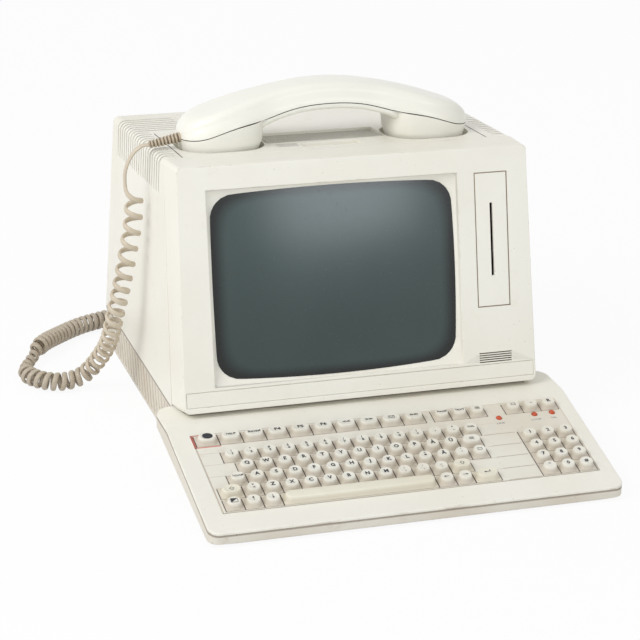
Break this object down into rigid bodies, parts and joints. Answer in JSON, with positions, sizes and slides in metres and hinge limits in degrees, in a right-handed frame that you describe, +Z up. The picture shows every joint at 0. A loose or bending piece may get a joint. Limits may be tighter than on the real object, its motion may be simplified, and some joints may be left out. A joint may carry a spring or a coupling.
{
  "type": "data terminal",
  "caption": "Desktop data terminal: leaning picture tube housing with a card slot, sloping keyboard deck, and a handset in a cradle on top with a curly cord.",
  "frame": {"origin": "on the table under the middle of the machine, measured without the handset cord and its plug", "axes": "+X to the right seen from the front, +Y to the back, +Z up"},
  "size_m": [0.3946, 0.4303, 0.2646],
  "materials": {
    "case_ivory": "satin",
    "base_ivory": "satin",
    "key_ivory": "satin",
    "handset_ivory": "semi-gloss",
    "foot_rubber": "matte",
    "steel": "plain",
    "board_green": "matte",
    "lamp_red": "gloss",
    "tube_glass": "gloss",
    "yoke_brown": "matte",
    "dark_plastic": "matte",
    "cord_taupe": "satin",
    "plug_clear": "gloss"
  },
  "bodies": {
    "machine": {"base_tray": "base_ivory", "rubber_feet": "foot_rubber", "case_screws": "steel", "deck_cover": "case_ivory", "key_panel": "case_ivory", "contact_mat": "foot_rubber", "keyboard_board": "board_green", "signal_lamps": "lamp_red", "front_bezel": "case_ivory", "badge_strip": "case_ivory", "card_plate": "case_ivory", "card_reader": "dark_plastic", "speaker": "dark_plastic", "rear_cover": "case_ivory", "cradle_panel": "case_ivory", "picture_tube": "tube_glass", "tube_band": "steel", "deflection_yoke": "yoke_brown", "neck_board": "board_green", "main_board": "board_green", "flyback_transformer": "dark_plastic", "phone_sockets": "dark_plastic", "mains_inlet": "dark_plastic", "handset_cord": "cord_taupe", "cord_plug": "plug_clear"},
    "handset": {"handset_back": "handset_ivory", "handset_front": "handset_ivory", "ear_receiver": "dark_plastic", "mouth_microphone": "dark_plastic", "cord_boot": "cord_taupe"},
    "hook": {"hook_plunger": "dark_plastic"},
    "function_keys": {"function_keys": "key_ivory"},
    "number_keys": {"number_keys": "key_ivory"},
    "upper_letter_keys": {"upper_letter_keys": "key_ivory"},
    "middle_letter_keys": {"middle_letter_keys": "key_ivory"},
    "lower_letter_keys": {"lower_letter_keys": "key_ivory"},
    "cursor_keys": {"cursor_keys": "key_ivory"},
    "home_key": {"home_key": "key_ivory"},
    "screen_key_1": {"screen_key_1": "key_ivory"},
    "screen_key_2": {"screen_key_2": "key_ivory"},
    "screen_key_3": {"screen_key_3": "key_ivory"},
    "call_key_1": {"call_key_1": "key_ivory"},
    "call_key_2": {"call_key_2": "key_ivory"},
    "call_key_3": {"call_key_3": "key_ivory"},
    "left_shift_key": {"left_shift_key": "key_ivory"},
    "right_shift_key": {"right_shift_key": "key_ivory"},
    "space_bar": {"space_bar": "key_ivory"},
    "return_key": {"return_key": "key_ivory"},
    "keypad_key_1": {"keypad_key_1": "key_ivory"},
    "keypad_key_2": {"keypad_key_2": "key_ivory"},
    "keypad_key_3": {"keypad_key_3": "key_ivory"},
    "keypad_key_4": {"keypad_key_4": "key_ivory"},
    "keypad_key_5": {"keypad_key_5": "key_ivory"},
    "keypad_key_6": {"keypad_key_6": "key_ivory"},
    "keypad_key_7": {"keypad_key_7": "key_ivory"},
    "keypad_key_8": {"keypad_key_8": "key_ivory"},
    "keypad_key_9": {"keypad_key_9": "key_ivory"},
    "keypad_key_star": {"keypad_key_star": "key_ivory"},
    "keypad_key_0": {"keypad_key_0": "key_ivory"},
    "keypad_key_hash": {"keypad_key_hash": "key_ivory"}
  },
  "joints": [
    {"name": "handset_lift", "type": "slide", "parent": "machine", "child": "handset", "axis": [0, 0.0906, 0.9959], "range_m": [0, 0.12], "deforming": ["handset_cord"]},
    {"name": "hook_switch", "type": "slide", "parent": "machine", "child": "hook", "axis": [0, 0.0906, 0.9959], "range_m": [0, 0.003]},
    {"name": "function_keys_press", "type": "slide", "parent": "machine", "child": "function_keys", "axis": [0, 0.213, -0.977], "range_m": [0, 0.0018], "stiffness_N_per_m": 500, "springref_m": -0.0015},
    {"name": "number_keys_press", "type": "slide", "parent": "machine", "child": "number_keys", "axis": [0, 0.213, -0.977], "range_m": [0, 0.0018], "stiffness_N_per_m": 500, "springref_m": -0.0015},
    {"name": "upper_letter_keys_press", "type": "slide", "parent": "machine", "child": "upper_letter_keys", "axis": [0, 0.213, -0.977], "range_m": [0, 0.0018], "stiffness_N_per_m": 500, "springref_m": -0.0015},
    {"name": "middle_letter_keys_press", "type": "slide", "parent": "machine", "child": "middle_letter_keys", "axis": [0, 0.213, -0.977], "range_m": [0, 0.0018], "stiffness_N_per_m": 500, "springref_m": -0.0015},
    {"name": "lower_letter_keys_press", "type": "slide", "parent": "machine", "child": "lower_letter_keys", "axis": [0, 0.213, -0.977], "range_m": [0, 0.0018], "stiffness_N_per_m": 500, "springref_m": -0.0015},
    {"name": "cursor_keys_press", "type": "slide", "parent": "machine", "child": "cursor_keys", "axis": [0, 0.213, -0.977], "range_m": [0, 0.0018], "stiffness_N_per_m": 500, "springref_m": -0.0015},
    {"name": "home_key_press", "type": "slide", "parent": "machine", "child": "home_key", "axis": [0, 0.213, -0.977], "range_m": [0, 0.0018], "stiffness_N_per_m": 200, "springref_m": -0.0015},
    {"name": "screen_key_1_press", "type": "slide", "parent": "machine", "child": "screen_key_1", "axis": [0, 0.213, -0.977], "range_m": [0, 0.0018], "stiffness_N_per_m": 200, "springref_m": -0.0015},
    {"name": "screen_key_2_press", "type": "slide", "parent": "machine", "child": "screen_key_2", "axis": [0, 0.213, -0.977], "range_m": [0, 0.0018], "stiffness_N_per_m": 200, "springref_m": -0.0015},
    {"name": "screen_key_3_press", "type": "slide", "parent": "machine", "child": "screen_key_3", "axis": [0, 0.213, -0.977], "range_m": [0, 0.0018], "stiffness_N_per_m": 200, "springref_m": -0.0015},
    {"name": "call_key_1_press", "type": "slide", "parent": "machine", "child": "call_key_1", "axis": [0, 0.213, -0.977], "range_m": [0, 0.0018], "stiffness_N_per_m": 200, "springref_m": -0.0015},
    {"name": "call_key_2_press", "type": "slide", "parent": "machine", "child": "call_key_2", "axis": [0, 0.213, -0.977], "range_m": [0, 0.0018], "stiffness_N_per_m": 200, "springref_m": -0.0015},
    {"name": "call_key_3_press", "type": "slide", "parent": "machine", "child": "call_key_3", "axis": [0, 0.213, -0.977], "range_m": [0, 0.0018], "stiffness_N_per_m": 200, "springref_m": -0.0015},
    {"name": "left_shift_key_press", "type": "slide", "parent": "machine", "child": "left_shift_key", "axis": [0, 0.213, -0.977], "range_m": [0, 0.0018], "stiffness_N_per_m": 200, "springref_m": -0.0015},
    {"name": "right_shift_key_press", "type": "slide", "parent": "machine", "child": "right_shift_key", "axis": [0, 0.213, -0.977], "range_m": [0, 0.0018], "stiffness_N_per_m": 200, "springref_m": -0.0015},
    {"name": "space_bar_press", "type": "slide", "parent": "machine", "child": "space_bar", "axis": [0, 0.213, -0.977], "range_m": [0, 0.0018], "stiffness_N_per_m": 500, "springref_m": -0.0015},
    {"name": "return_key_press", "type": "slide", "parent": "machine", "child": "return_key", "axis": [0, 0.213, -0.977], "range_m": [0, 0.0018], "stiffness_N_per_m": 200, "springref_m": -0.0015},
    {"name": "keypad_key_1_press", "type": "slide", "parent": "machine", "child": "keypad_key_1", "axis": [0, 0.213, -0.977], "range_m": [0, 0.0018], "stiffness_N_per_m": 200, "springref_m": -0.0015},
    {"name": "keypad_key_2_press", "type": "slide", "parent": "machine", "child": "keypad_key_2", "axis": [0, 0.213, -0.977], "range_m": [0, 0.0018], "stiffness_N_per_m": 200, "springref_m": -0.0015},
    {"name": "keypad_key_3_press", "type": "slide", "parent": "machine", "child": "keypad_key_3", "axis": [0, 0.213, -0.977], "range_m": [0, 0.0018], "stiffness_N_per_m": 200, "springref_m": -0.0015},
    {"name": "keypad_key_4_press", "type": "slide", "parent": "machine", "child": "keypad_key_4", "axis": [0, 0.213, -0.977], "range_m": [0, 0.0018], "stiffness_N_per_m": 200, "springref_m": -0.0015},
    {"name": "keypad_key_5_press", "type": "slide", "parent": "machine", "child": "keypad_key_5", "axis": [0, 0.213, -0.977], "range_m": [0, 0.0018], "stiffness_N_per_m": 200, "springref_m": -0.0015},
    {"name": "keypad_key_6_press", "type": "slide", "parent": "machine", "child": "keypad_key_6", "axis": [0, 0.213, -0.977], "range_m": [0, 0.0018], "stiffness_N_per_m": 200, "springref_m": -0.0015},
    {"name": "keypad_key_7_press", "type": "slide", "parent": "machine", "child": "keypad_key_7", "axis": [0, 0.213, -0.977], "range_m": [0, 0.0018], "stiffness_N_per_m": 200, "springref_m": -0.0015},
    {"name": "keypad_key_8_press", "type": "slide", "parent": "machine", "child": "keypad_key_8", "axis": [0, 0.213, -0.977], "range_m": [0, 0.0018], "stiffness_N_per_m": 200, "springref_m": -0.0015},
    {"name": "keypad_key_9_press", "type": "slide", "parent": "machine", "child": "keypad_key_9", "axis": [0, 0.213, -0.977], "range_m": [0, 0.0018], "stiffness_N_per_m": 200, "springref_m": -0.0015},
    {"name": "keypad_key_star_press", "type": "slide", "parent": "machine", "child": "keypad_key_star", "axis": [0, 0.213, -0.977], "range_m": [0, 0.0018], "stiffness_N_per_m": 200, "springref_m": -0.0015},
    {"name": "keypad_key_0_press", "type": "slide", "parent": "machine", "child": "keypad_key_0", "axis": [0, 0.213, -0.977], "range_m": [0, 0.0018], "stiffness_N_per_m": 200, "springref_m": -0.0015},
    {"name": "keypad_key_hash_press", "type": "slide", "parent": "machine", "child": "keypad_key_hash", "axis": [0, 0.213, -0.977], "range_m": [0, 0.0018], "stiffness_N_per_m": 200, "springref_m": -0.0015}
  ],
  "couplings": [
    {"joint": "hook_switch", "follows": "handset_lift", "ratio": 0.025}
  ]
}
